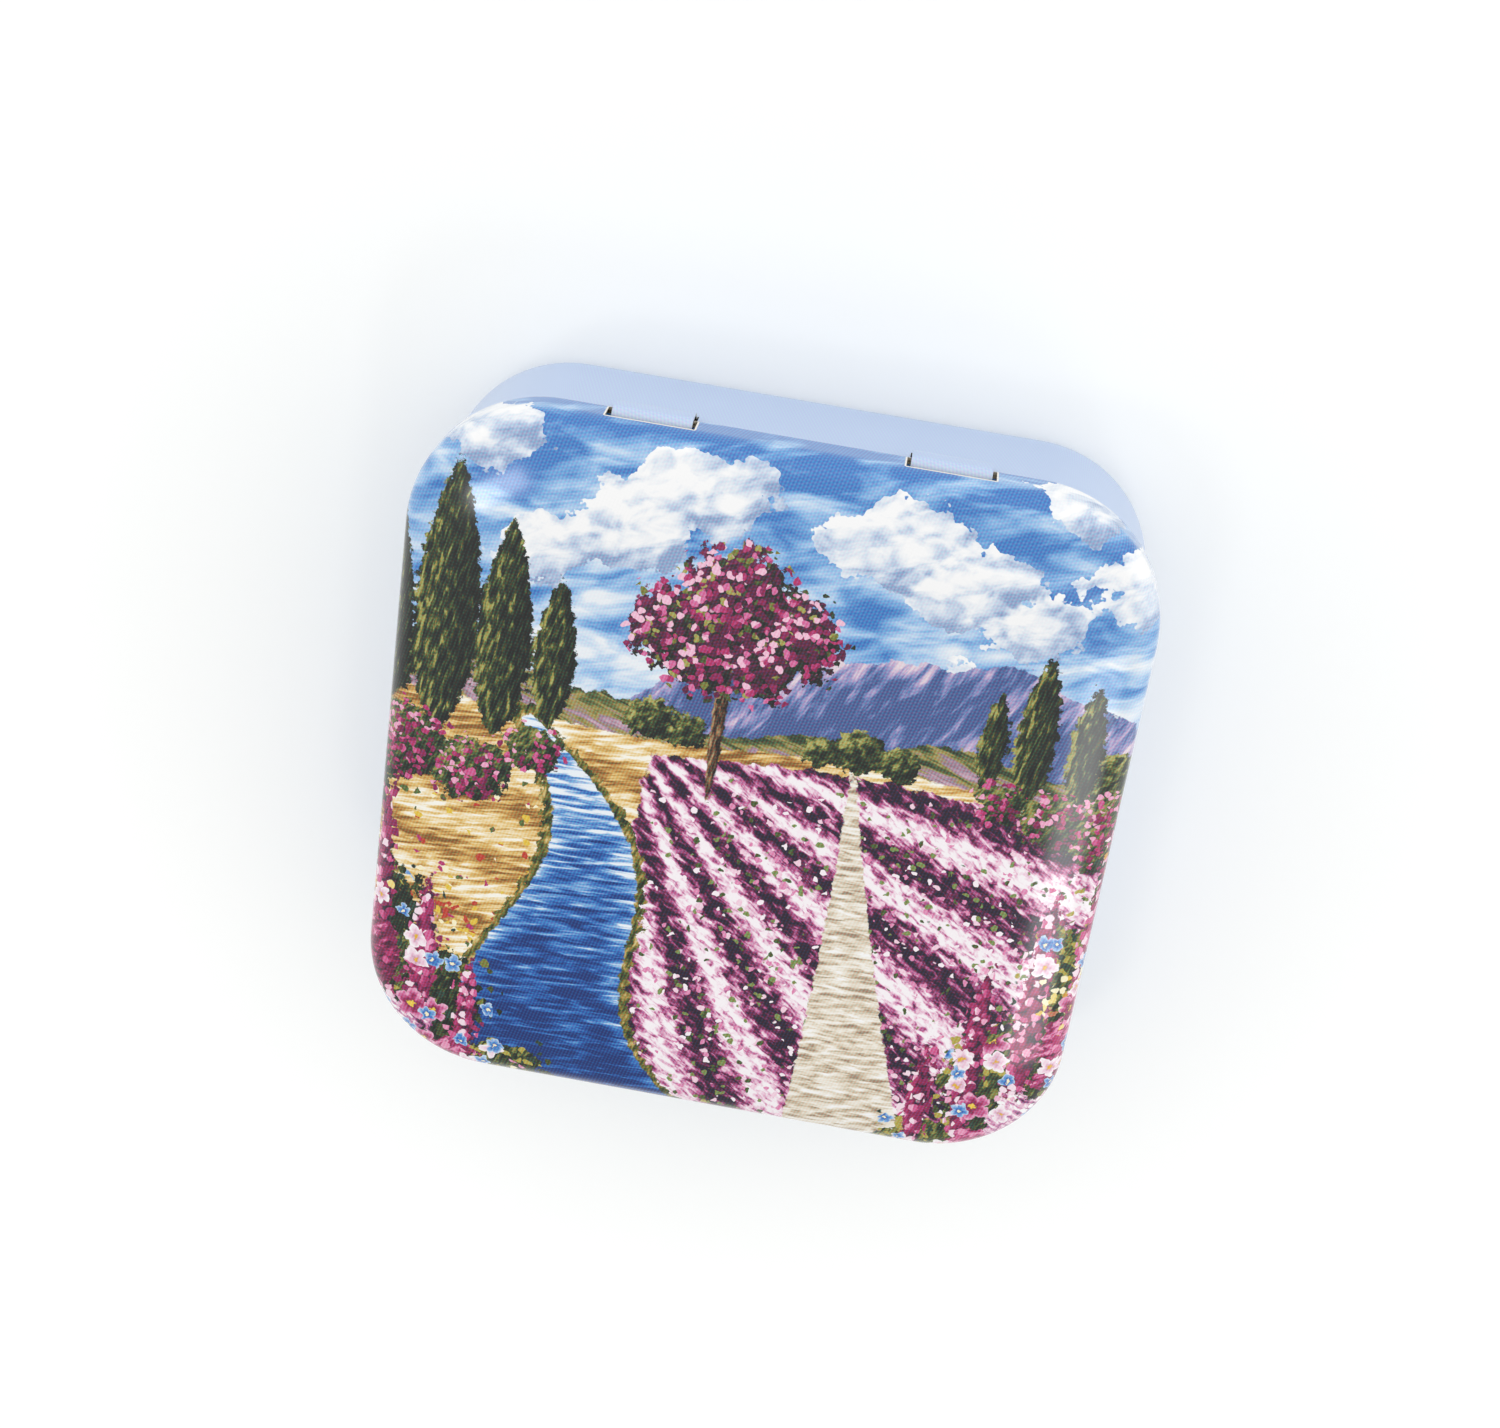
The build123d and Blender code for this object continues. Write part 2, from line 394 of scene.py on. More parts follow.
# Each layer has its field, its marks, and its colours from dark to light. The marks are brush
# strokes of a length, width and turn with a ragged edge of a size and depth, or dabs or blooms of
# a size, the share of places that have one, and the depths from none to that share.
layers = [
    ("sky", {"strokes": (7, 2.4, 10)}, "3F7EC8 6FA5DE A2C8EF CEE2F6 F1F6FB"),
    ("cloud", {"edge": (4.5, 3.0), "strokes": (3, 1.8, 20)}, "93AAD0 B5C7E3 D6E2F2 F1F5FA FFFFFF"),
    ("mountain", {"edge": (1.2, 0.5), "strokes": (3.2, 0.8, 58)}, "4A5F98 6A7DB4 9A98C8 C9B3D4 EAD9E2"),
    ("hill", {"edge": (1.6, 0.6), "strokes": (4, 0.8, -18)}, "34422B 626B3C A99A55 9B7E93 C9A7B7"),
    ("wheat", {"edge": (1.0, 0.3), "strokes": (3.0, 0.45, 8)}, "8C5F28 C4924A E5C070 F6E0AE FFFCF0"),
    ("wheat", {"dabs": 0.6, "share": 0.34, "depths": (6, 24)}, "C2402F E8C545 FFF6CF B8326F 5A6B34"),
    ("rows", {"edge": (1.5, 0.5), "strokes": (1.4, 0.6, -35)}, "24142E 6E2050 C4629A F3CBDF FFF9FC"),
    ("rows", {"dabs": 0.5, "share": 0.22, "depths": (0, 6)}, "F9D5E5 E58FB9 7F9150 FFF4FA 4A5A2C"),
    ("path", {"edge": (0.7, 0.25), "strokes": (2.2, 0.45, 4)}, "A58E78 CDBBA0 EADFCB F8F3E8 FFFFFF"),
    ("bankEdge", {"edge": (0.9, 0.8), "strokes": (1.2, 0.6, 70)}, "1E2A1A 3F4A22 6C6A2A A88E42 D8C27E"),
    ("stream", {"edge": (0.9, 0.35), "strokes": (4.0, 0.5, 3)}, "0F347A 1C56A6 3A7BC8 86B6E4 F1F8FE"),
    ("copse", {"edge": (0.8, 0.7), "strokes": (0.9, 0.6, 40)}, "141A14 222C1E 3A4526 6E7438 B3AE64"),
    ("cypress", {"edge": (0.7, 0.5), "strokes": (1.5, 0.45, 82)}, "0E120F 171F1A 263220 4C5628 A9A457"),
    ("trunk", {"edge": (0.6, 0.15), "strokes": (1.2, 0.3, 84)}, "1A120F 34231A 5C402C 8C6A48 B9976C"),
    ("crown", {"edge": (1.8, 1.6), "strokes": (0.9, 0.5, 40)}, "14151A 25231F 3B2030 5A1A45 7C2450"),
    ("crown", {"dabs": 0.6, "share": 0.35, "depths": (-1.6, 1)}, "1F2A1C 33402B 4F5A2C 7C7E36 A9A457"),
    ("crown", {"dabs": 0.64, "share": 0.8, "depths": (-1.4, 1)}, "5E1740 8E1F57 B8326F DB6FA3 F7C3DA"),
    ("shrub", {"edge": (1.2, 1.1), "strokes": (0.9, 0.45, 50)}, "141B16 22301F 3A4A2A 5F6A32 9A9650"),
    ("shrub", {"dabs": 0.5, "share": 0.75, "depths": (-1.2, 2)}, "741A48 8E1F57 B8326F D45C93 F1A9C9"),
    ("bank", {"edge": (2.6, 2.2), "strokes": (1.2, 0.45, 62)}, "0E1310 18211A 29361F 48542A 8C8A44"),
    ("bank", {"dabs": 0.7, "share": 0.5, "depths": (-3.0, 1)}, "1B281A 2A4034 3F4A25 7C7E36 B7A94C"),
    ("spire", {"edge": (0.7, 0.5), "strokes": (0.9, 0.6, 60)}, "24142B 4E163C 7C1A4C A3265F B8326F"),
    ("spire", {"dabs": 0.75, "share": 0.9, "depths": (-0.9, 0.3)}, "8E1F57 A92C67 D45C93 F1A9C9 FBE3EE"),
    ("rose", {"edge": (2.0, 1.6), "strokes": (1.0, 0.5, 30)}, "3A0C26 661640 9A2459 C44584 EE9CC0"),
    ("pale", {"edge": (1.8, 1.4), "strokes": (0.9, 0.5, -30)}, "4E2244 9A4A86 D48AB4 F6D3E4 FFFFFF"),
    ("rose", {"dabs": 0.8, "share": 0.5, "depths": (-2.0, 2)}, "741A48 8E1F57 B8326F D45C93 EE9CC0"),
    ("pale", {"dabs": 0.7, "share": 0.5, "depths": (-1.8, 2)}, "E887B4 F3B9D2 FBE3EE FFF4E2 FFFFFF"),
    ("gold", {"dabs": 0.65, "share": 0.6, "depths": (-1.8, 2)}, "C77B5B D79A35 E8C545 F5E08A FFF6CF"),
    ("bank", {"blooms": 3.8, "share": 0.42, "depths": (0.5, 3)}, "F6D34F 7C1A4C A3265F D4679C F3B6D3"),
    ("bank", {"blooms": 2.7, "share": 0.3, "depths": (-1.0, 2)}, "E8B63C D9A9C4 F1C9DC FBE6F0 FFFFFF"),
    ("bank", {"blooms": 2.1, "share": 0.24, "depths": (-2.0, 1)}, "FFF6CF 2C5CAE 3F82CC 7FA9E0 C6E0F6"),
]

brush = {
    "noiseApart": 7.0,  # between the noise of one layer and the next
    "stripes": 0.16,  # how far a field's stripes move the tone
    "tones": (0.34, 0.68),  # from the darkest colour to the lightest
    "edgeGain": 4,  # noise seldom strays more than a quarter from its middle
    "edgeSoftness": 0.06,  # mm
}
dab = {
    "shading": 2.5,  # how far a field's shade moves the choice of colour
    "reach": 0.62,  # from the middle of its cell, in cells
    "softness": 0.08,
}
bloom = {
    "scatter": 0.8,
    "lobes": 5,
    "notch": 0.4,  # between two lobes, a share of the radius
    "radius": (0.34, 0.16),  # the least, and what chance adds, in cells
    "rim": 0.94,  # share of the radius where it begins to fade out
    "mottleSize": 0.5,  # mm
    "mottle": 0.7,
    "tones": (0.16, 0.26, 0.45, 0.7, 0.95),  # where each colour is, from the middle outwards
}


def paintStrokes(tree, place, parts, marks, number):
    # Tone = noise drawn out along the strokes + shade + a share of the sine of the phase.
    # Cover = where the depth + ragged noise is above 0.
    length, width, turn = marks["strokes"]
    turned = (0, 0, -np.radians(turn))
    shifted = (0, 0, number * brush["noiseApart"])
    laid = addNode(tree, "Mapping", {"Vector": place, "Rotation": turned, "Location": shifted})
    laid = addNode(tree, "VectorMath", {0: laid, 1: (1 / length, 1 / width, 1)}, "MULTIPLY")
    links = {"Vector": laid, "Scale": 1.0, "Detail": 3.0, "Roughness": 0.55, "Distortion": 0.4}
    stroke = addNode(tree, "TexNoise", links)
    stripes = addNode(tree, "Math", {0: parts[2]}, "SINE")
    tone = addNode(tree, "Math", {0: stroke, 1: parts[1]}, "ADD")
    tone = addNode(tree, "Math", {0: stripes, 1: brush["stripes"], 2: tone}, "MULTIPLY_ADD")
    if "edge" not in marks:
        return tone, None
    size, depth = marks["edge"]
    links = {"Vector": place, "Scale": 1 / size, "Detail": 4.0, "Roughness": 0.62}
    edge = addNode(tree, "TexNoise", links)
    edge = addNode(tree, "Math", {0: edge, 1: 0.5}, "SUBTRACT")
    strength = brush["edgeGain"] * depth
    edge = addNode(tree, "Math", {0: edge, 1: strength, 2: parts[0]}, "MULTIPLY_ADD")
    soft = brush["edgeSoftness"]
    return tone, addNode(tree, "MapRange", {"Value": edge, "From Min": -soft, "From Max": soft})


def chosenCells(tree, depth, chance, marks):
    # The share of cells that have a mark grows from none to the layer's share over its depths
    low, high = marks["depths"]
    links = {"Value": depth, "From Min": low, "From Max": high, "To Max": marks["share"]}
    share = addNode(tree, "MapRange", links)
    return addNode(tree, "Math", {0: share, 1: chance}, "GREATER_THAN")


def paintDabs(tree, ragged, parts, marks):
    # Cells, each of one colour. Tone = chance + a share of the shade, and cover = where the
    # distance from the cell's middle is within reach, in the cells that are chosen.
    cells = addNode(tree, "TexVoronoi", {"Vector": ragged, "Scale": 1 / marks["dabs"]})
    chance = addNode(tree, "SeparateColor", {"Color": cells.outputs["Color"]}).outputs
    tone = addNode(tree, "Math", {0: parts[1], 1: dab["shading"], 2: chance[0]}, "MULTIPLY_ADD")
    chosen = chosenCells(tree, parts[0], chance[1], marks)
    near = addNode(tree, "Math", {0: dab["reach"], 1: cells.outputs["Distance"]}, "SUBTRACT")
    cover = addNode(tree, "MapRange", {"Value": near, "From Max": dab["softness"]})
    return tone, addNode(tree, "Math", {0: cover, 1: chosen}, "MULTIPLY")


def paintBlooms(tree, place, ragged, parts, marks):
    # Flowers about the middles of cells. The outline has as many lobes as petals:
    # radius = reach * (1 - notch + notch * |cos(lobes / 2 * angle)|), and tone = distance / radius.
    size = marks["blooms"]
    links = {"Vector": ragged, "Scale": 1 / size, "Randomness": bloom["scatter"]}
    cells = addNode(tree, "TexVoronoi", links, voronoi_dimensions="2D")
    chance = addNode(tree, "SeparateColor", {"Color": cells.outputs["Color"]}).outputs
    local = addNode(tree, "VectorMath", {0: ragged, 1: cells.outputs["Position"]}, "SUBTRACT")
    local = addNode(tree, "VectorMath", {0: local, 1: (1, 1, 0)}, "MULTIPLY")
    axes = addNode(tree, "SeparateXYZ", {"Vector": local}).outputs
    away = addNode(tree, "VectorMath", {0: local}, "LENGTH").outputs["Value"]
    angle = addNode(tree, "Math", {0: axes[1], 1: axes[0]}, "ARCTAN2")
    angle = addNode(tree, "Math", {0: chance[2], 1: 2 * np.pi, 2: angle}, "MULTIPLY_ADD")
    lobes = addNode(tree, "Math", {0: angle, 1: bloom["lobes"] / 2}, "MULTIPLY")
    lobes = addNode(tree, "Math", {0: lobes}, "COSINE")
    lobes = addNode(tree, "Math", {0: lobes}, "ABSOLUTE")
    notch = bloom["notch"]
    lobes = addNode(tree, "Math", {0: lobes, 1: notch, 2: 1 - notch}, "MULTIPLY_ADD")
    least, more = bloom["radius"]
    reach = addNode(tree, "Math", {0: chance[0], 1: more, 2: least}, "MULTIPLY_ADD")
    reach = addNode(tree, "Math", {0: reach, 1: lobes}, "MULTIPLY")
    away = addNode(tree, "Math", {0: away, 1: 1 / size}, "MULTIPLY")
    tone = addNode(tree, "Math", {0: away, 1: reach}, "DIVIDE")
    chosen = chosenCells(tree, parts[0], chance[1], marks)
    cover = addNode(tree, "MapRange", {"Value": tone, "From Min": 1.0, "From Max": bloom["rim"]})
    cover = addNode(tree, "Math", {0: cover, 1: chosen}, "MULTIPLY")
    mottle = addNode(tree, "TexNoise", {"Vector": place, "Scale": 1 / bloom["mottleSize"]})
    mottle = addNode(tree, "Math", {0: mottle, 1: 0.5}, "SUBTRACT")
    return addNode(tree, "Math", {0: mottle, 1: bloom["mottle"], 2: tone}, "MULTIPLY_ADD"), cover


def paintLayer(tree, below, place, ragged, number, layer):
    # One layer over those below. Its tone picks the colour, and its cover says where it is.
    name, marks, colours = layer
    colours = colours.split()
    field = addNode(tree, "Attribute", attribute_name="field_" + name).outputs["Vector"]
    parts = addNode(tree, "SeparateXYZ", {"Vector": field}).outputs
    ramp = addNode(tree, "ValToRGB")
    bands = ramp.color_ramp
    while len(bands.elements) < len(colours):
        bands.elements.new(0.5)
    if "blooms" in marks:
        tone, cover = paintBlooms(tree, place, ragged, parts, marks)
        spots = bloom["tones"]
    elif "dabs" in marks:
        tone, cover = paintDabs(tree, ragged, parts, marks)
        spots = np.linspace(0, 1, len(colours) + 1)[:-1]
        bands.interpolation = "CONSTANT"
    else:
        tone, cover = paintStrokes(tree, place, parts, marks, number)
        spots = np.linspace(*brush["tones"], len(colours))
    for element, spot, colour in zip(bands.elements, spots, colours):
        element.position = float(spot)
        element.color = toLinear(colour)
    tree.links.new(tone.outputs[0], ramp.inputs["Fac"])
    if cover is None:
        return ramp
    return addNode(tree, "Mix", {"Factor": cover, "A": below, "B": ramp}, data_type="RGBA")


screen = {
    "pitch": 0.3,  # mm between dots, really about 0.19 and drawn coarser so that it shows
    "redTurn": 15,  # degrees
    "greenTurn": 75,
    "weaker": 0.45,  # of a screen's two lines
}


def screenDots(tree, place, turn):
    # One ink's dots: cos(2 pi v / pitch) + a weaker cos(2 pi u / pitch), on axes that are turned
    turned = addNode(tree, "Mapping", {"Vector": place, "Rotation": (0, 0, -np.radians(turn))})
    waves = (2 * np.pi / screen["pitch"],) * 3
    turned = addNode(tree, "VectorMath", {0: turned, 1: waves}, "MULTIPLY")
    along = addNode(tree, "SeparateXYZ", {"Vector": turned}).outputs
    first, second = (addNode(tree, "Math", {0: axis}, "COSINE") for axis in along[:2])
    return addNode(tree, "Math", {0: first, 1: screen["weaker"], 2: second}, "MULTIPLY_ADD")


varnish = {
    "wobble": 0.9,  # mm, of the outlines of dabs and blooms
    "redDots": 0.16,
    "greenDots": 0.2,
    "ink": 0.88,  # how much light the print throws back
    "wornEdge": (0.17, 0.12),  # mm from a slot, where the print is worn away
    "edgeColour": "EDE6D8",
    "rubSize": 5,  # mm
    "roughness": (0.34, 0.44),
}


def varnishedPrint(tree):
    # Offset print under gloss varnish on tinplate: strong colour, a skin that mirrors the room
    # softly, and dots in two screens that make the colour finely uneven. Where the slots were
    # cut the print has come off a thin pale edge.
    place = addNode(tree, "Attribute", attribute_name="printPlace").outputs["Vector"]
    wobble = addNode(tree, "TexNoise", {"Vector": place, "Scale": 1 / varnish["wobble"]})
    wobble = addNode(tree, "VectorMath", {0: wobble.outputs["Color"], 1: (0.5,) * 3}, "SUBTRACT")
    sideways = (varnish["wobble"], varnish["wobble"], 0.0)
    ragged = addNode(tree, "VectorMath", {0: wobble, 1: sideways, 2: place}, "MULTIPLY_ADD")
    colour = None
    for number, layer in enumerate(layers):
        colour = paintLayer(tree, colour, place, ragged, number, layer)
    dots = screenDots(tree, place, screen["greenTurn"])
    red = screenDots(tree, place, screen["redTurn"])
    red = addNode(tree, "Math", {0: red, 1: varnish["redDots"], 2: 1.0}, "MULTIPLY_ADD")
    green = addNode(tree, "Math", {0: dots, 1: varnish["greenDots"], 2: 1.0}, "MULTIPLY_ADD")
    growth = addNode(tree, "CombineXYZ", {0: red, 1: green, 2: green})  # a power for each channel
    inked = addNode(tree, "VectorMath", {0: colour, 1: growth}, "POWER")
    inked = addNode(tree, "VectorMath", {0: inked, "Scale": varnish["ink"]}, "SCALE")
    margin = addNode(tree, "Attribute", attribute_name="slotMargin").outputs["Fac"]
    outer, inner = varnish["wornEdge"]
    worn = addNode(tree, "MapRange", {"Value": margin, "From Min": outer, "From Max": inner})
    pale = toLinear(varnish["edgeColour"])
    inked = addNode(tree, "Mix", {"Factor": worn, "A": inked, "B": pale}, data_type="RGBA")
    grain = addNode(tree, "Bump", {"Strength": 0.14, "Distance": 0.02 * mm, "Height": dots})
    links = {"Vector": place, "Scale": 1 / varnish["rubSize"], "Detail": 6.0, "Roughness": 0.7}
    rubbed = addNode(tree, "TexNoise", links)
    least, most = varnish["roughness"]
    links = {"Value": rubbed, "From Min": 0.3, "From Max": 0.7, "To Min": least, "To Max": most}
    rough = addNode(tree, "MapRange", links)
    return {
        "Base Color": inked, "Roughness": rough, "Specular IOR Level": 0.15, "Normal": grain,
        "Coat Weight": 1.0, "Coat Roughness": 0.12,
    }


lacquer = {
    "colours": ("AABFDD", "B4C7E2"),
    "cloudSize": 7,  # mm
    # the colour of the painted light on the tabs' curls
    "paintedLightColour": "D2E1F6",
    "redDots": (0.08, 0.95),
    "greenDots": (0.07, 0.955),
    "peelSize": 0.6,  # mm
    "roughness": (0.34, 0.44),
}


def lilacLacquer(tree):
    # Roller-coated lacquer printed pale lilac: even colour, the screen's dots just showing,
    # a satin gloss and a faint orange peel from the oven. On the tabs' curls round the hem the
    # colour is painted paler: painted light that offsets the shade there.
    place = addNode(tree, "Attribute", attribute_name="printPlace").outputs["Vector"]
    links = {"Vector": place, "Scale": 1 / lacquer["cloudSize"], "Detail": 3.0}
    cloudy = addNode(tree, "TexNoise", links)
    low, high = (toLinear(colour) for colour in lacquer["colours"])
    colour = addNode(tree, "Mix", {"Factor": cloudy, "A": low, "B": high}, data_type="RGBA")
    # painted light: the tabs' curls are made paler, to offset their shade
    bent = addNode(tree, "Attribute", attribute_name="paintedTabLight").outputs["Fac"]
    pale = toLinear(lacquer["paintedLightColour"])
    colour = addNode(tree, "Mix", {"Factor": bent, "A": colour, "B": pale}, data_type="RGBA")
    red = screenDots(tree, place, screen["redTurn"])
    depth, middle = lacquer["redDots"]
    red = addNode(tree, "Math", {0: red, 1: depth, 2: middle}, "MULTIPLY_ADD")
    green = screenDots(tree, place, screen["greenTurn"])
    depth, middle = lacquer["greenDots"]
    green = addNode(tree, "Math", {0: green, 1: depth, 2: middle}, "MULTIPLY_ADD")
    ink = addNode(tree, "CombineColor", {0: red, 1: green, 2: 1.0})
    links = {"Factor": 1.0, "A": colour, "B": ink}
    inked = addNode(tree, "Mix", links, data_type="RGBA", blend_type="MULTIPLY")
    peel = addNode(tree, "TexNoise", {"Vector": place, "Scale": 1 / lacquer["peelSize"]})
    skin = addNode(tree, "Bump", {"Strength": 0.25, "Distance": 0.01 * mm, "Height": peel})
    least, most = lacquer["roughness"]
    rough = addNode(tree, "MapRange", {"Value": cloudy, "To Min": least, "To Max": most})
    return {
        "Base Color": inked, "Roughness": rough, "Normal": skin,
        "Coat Weight": 0.5, "Coat Roughness": 0.18,
    }


def lacqueredTinplate(tree):
    # Bright tinplate under clear lacquer: a soft metal sheen, drawn out one way by the fine
    # grain of the rolls. The grain is about 0.05 mm and is drawn at 0.3 mm, so that it shows.
    place = addNode(tree, "TexCoord").outputs["Object"]
    scales = (1 / (14 * mm), 1 / (0.3 * mm), 1 / (0.3 * mm))
    rolled = addNode(tree, "VectorMath", {0: place, 1: scales}, "MULTIPLY")
    grain = addNode(tree, "TexNoise", {"Vector": rolled, "Scale": 1.0, "Detail": 3.0})
    stain = addNode(tree, "TexNoise", {"Vector": place, "Scale": 1 / (9 * mm), "Detail": 3.0})
    tone = addNode(tree, "Math", {0: grain, 1: 0.5, 2: stain}, "MULTIPLY_ADD")
    tone = addNode(tree, "MapRange", {"Value": tone, "From Min": 0.5, "From Max": 1.0})
    links = {"Factor": tone, "A": toLinear("C9C4B8"), "B": toLinear("DEDAD0")}
    colour = addNode(tree, "Mix", links, data_type="RGBA")
    links = {"Value": grain, "From Min": 0.3, "From Max": 0.7, "To Min": 0.26, "To Max": 0.4}
    rough = addNode(tree, "MapRange", links)
    lines = addNode(tree, "Bump", {"Strength": 0.2, "Distance": 0.01 * mm, "Height": grain})
    return {"Base Color": colour, "Metallic": 1.0, "Roughness": rough, "Normal": lines}


def shearedEdge(tree):
    # Tinplate cut in the press tool: raw metal, in places bright and in places torn and duller
    place = addNode(tree, "TexCoord").outputs["Object"]
    torn = addNode(tree, "TexNoise", {"Vector": place, "Scale": 1 / (0.25 * mm)})
    links = {"Factor": torn, "A": toLinear("B9B1A2"), "B": toLinear("F1ECE0")}
    colour = addNode(tree, "Mix", links, data_type="RGBA")
    rough = addNode(tree, "MapRange", {"Value": torn, "To Min": 0.3, "To Max": 0.6})
    return {"Base Color": colour, "Metallic": 1.0, "Roughness": rough}


def flexibleMagnet(tree):
    # Ferrite powder in rolled rubber: matt dark brown, with a faint chalky bloom and the lines
    # of the rolls, 0.8 mm apart
    place = addNode(tree, "TexCoord").outputs["Object"]
    scales = (1 / (0.8 * mm), 1 / (25 * mm), 1 / (2 * mm))
    drawn = addNode(tree, "VectorMath", {0: place, 1: scales}, "MULTIPLY")
    lines = addNode(tree, "TexNoise", {"Vector": drawn, "Scale": 1.0})
    powder = addNode(tree, "TexNoise", {"Vector": place, "Scale": 1 / (0.25 * mm), "Detail": 3.0})
    chalky = addNode(tree, "TexNoise", {"Vector": place, "Scale": 1 / (8 * mm), "Detail": 4.0})
    tone = addNode(tree, "Math", {0: lines, 1: chalky}, "MULTIPLY")
    tone = addNode(tree, "MapRange", {"Value": tone, "From Min": 0.15, "From Max": 0.4})
    links = {"Factor": tone, "A": toLinear("2A2421"), "B": toLinear("473E39")}
    colour = addNode(tree, "Mix", links, data_type="RGBA")
    height = addNode(tree, "Math", {0: powder, 1: lines}, "ADD")
    skin = addNode(tree, "Bump", {"Strength": 0.35, "Distance": 0.03 * mm, "Height": height})
    rough = addNode(tree, "MapRange", {"Value": powder, "To Min": 0.62, "To Max": 0.86})
    return {"Base Color": colour, "Roughness": rough, "Normal": skin}


def whiteBoard(tree):
    # Matt white board, painted a little greyer in the middle round the tin: painted shade
    place = addNode(tree, "TexCoord").outputs["Object"]
    away = addNode(tree, "VectorMath", {0: place}, "LENGTH").outputs["Value"]
    links = {"Value": away, "From Min": 50 * mm, "From Max": 115 * mm}
    spread = addNode(tree, "MapRange", links, interpolation_type="SMOOTHSTEP")
    white = toLinear("FFFFFF")
    # painted shade: greyer near the tin, white further out
    links = {"Factor": spread, "A": toLinear("F7F8F6"), "B": white}
    colour = addNode(tree, "Mix", links, data_type="RGBA")
    return {
        "Base Color": colour, "Roughness": 0.7, "Specular IOR Level": 0.2,
        "Emission Color": white, "Emission Strength": 0.05,
    }


lidPrint = newMaterial("varnishedTinPrint", varnishedPrint)
lilac = newMaterial("ovenCuredLilacLacquer", lilacLacquer)
tinplate = newMaterial("clearLacqueredTinplate", lacqueredTinplate)
cutEdge = newMaterial("shearedTinplateEdge", shearedEdge)
rubber = newMaterial("calenderedFerriteRubber", flexibleMagnet)
print("mixed the materials")

lid = {
    "edgeRadius": 2.2,  # between skirt and top, outside
    "crownSlope": 10.0,  # of the dome where it meets the edge bend
    "flatCorner": 1.5,  # plan corners of the flat middle
    "hemRadius": 0.65,
    "hemWrap": 292.0,
    "slotRise": 3.0,  # top of the slots above the bottom of the hem
    "waviness": 0.03,  # greatest sink of the pressed top
    "calmBorder": 0.2,  # share of the half width over which the waves die out
    "flatRings": 40,
    "domeRows": 18,
    "edgeRows": 14,
    "skirtRows": 5,
    "hemRows": 26,
}


def pressedWaves(x, y):
    # The top is never quite true: it sinks in long shallow waves, sin(x + sin y) * sin y and half
    # of sin(x + y) at their own lengths, which die out evenly towards the edge bend
    wave = np.sin(x / 5.3 + np.sin(y / 7.9)) * np.sin(y / 6.1 + 1.2) + 0.5 * np.sin((x + y) / 3.7)
    inside = 1 - np.maximum(np.abs(x), np.abs(y)) / (lidHigh[0] - lid["edgeRadius"])
    level = np.clip(inside, 0, lid["calmBorder"]) / lid["calmBorder"]
    return lid["waviness"] * level * (1 + wave / 1.5) / 2


def makeLid():
    # A section of dome, edge bend, skirt and hem, carried round the plan. The slots are cells
    # that are left out, between columns and rows that stand on their edges.
    bend = lid["edgeRadius"] - half
    slope = np.radians(lid["crownSlope"])
    domeWidth = tin["corner"] - half - bend * (1 - np.sin(slope)) - lid["flatCorner"]
    domeRadius = domeWidth / np.sin(slope)
    top = lidHigh[2] - half
    skirtTop = top - domeRadius * (1 - np.cos(slope)) - bend * np.cos(slope)
    slotTop = lidLow[2] + lid["slotRise"]
    lap = np.degrees(np.arcsin((slotTop - skirtTop) / bend))
    aboveSlot = [
        (domeRadius, -lid["crownSlope"], lid["domeRows"]),
        (bend, lid["crownSlope"] - 90 + lap, lid["edgeRows"]),
    ]
    besideSlot = [(bend, -lap, 1), (skirtTop - hinge[2], 0, lid["skirtRows"])]
    hem = [(lid["hemRadius"] - half, -lid["hemWrap"], lid["hemRows"])]
    path, lefts = bentPath((lid["flatCorner"], top), 0, aboveSlot + besideSlot + hem)
    middle, halfSlot = tin["tabSpacing"] / 2, tin["slotWidth"] / 2
    inner, outer = middle - halfSlot, middle + halfSlot
    anchors, outwards = planColumns([-outer, -inner, inner, outer])
    atBack = outwards[:, 1] == 1
    points, normals = carried(path[:, None], lefts[:, None], anchors, outwards)
    unrolled = lid["flatCorner"] + lengthAlong(path)
    flat = anchors + unrolled[:, None, None] * outwards
    printPlace = np.dstack([flat, np.zeros(flat.shape[:2])])

    slotRow = rowsOf(aboveSlot)
    slotEndRow = slotRow + rowsOf(besideSlot)
    aside = np.where(atBack, np.abs(np.abs(anchors[:, 0]) - middle) - halfSlot, tin["corner"])[None]
    below = np.maximum(unrolled[slotRow] - unrolled, unrolled - unrolled[slotEndRow])[:, None]
    slotMargin = np.hypot(np.maximum(aside, 0), np.maximum(below, 0))[..., None]
    rings = lid["flatRings"]
    points, normals = centred(points, normals, rings, top)
    printPlace, _ = centred(printPlace, normals, rings, 0)
    slotMargin = np.concatenate([np.full((rings, *slotMargin.shape[1:]), tin["corner"]), slotMargin])
    onTop = normals[..., 2] > 0.9
    points[..., 2] -= pressedWaves(points[..., 0], points[..., 1]) * onTop

    between = (anchors + np.roll(anchors, -1, 0)) / 2
    inSlot = atBack & (np.abs(np.abs(between[:, 0]) - middle) < halfSlot)
    keep = np.ones((len(points) - 1, len(anchors)), bool)
    keep[rings + slotRow:rings + slotEndRow, inSlot] = False
    attributes = {"printPlace": printPlace, "slotMargin": slotMargin}
    attributes.update(pictureFields(printPlace[..., 0], printPlace[..., 1]))
    sides = [lidPrint, tinplate, cutEdge]
    return sheetMesh("printed_lid", points, normals, keep, tin["sheet"], sides, attributes)


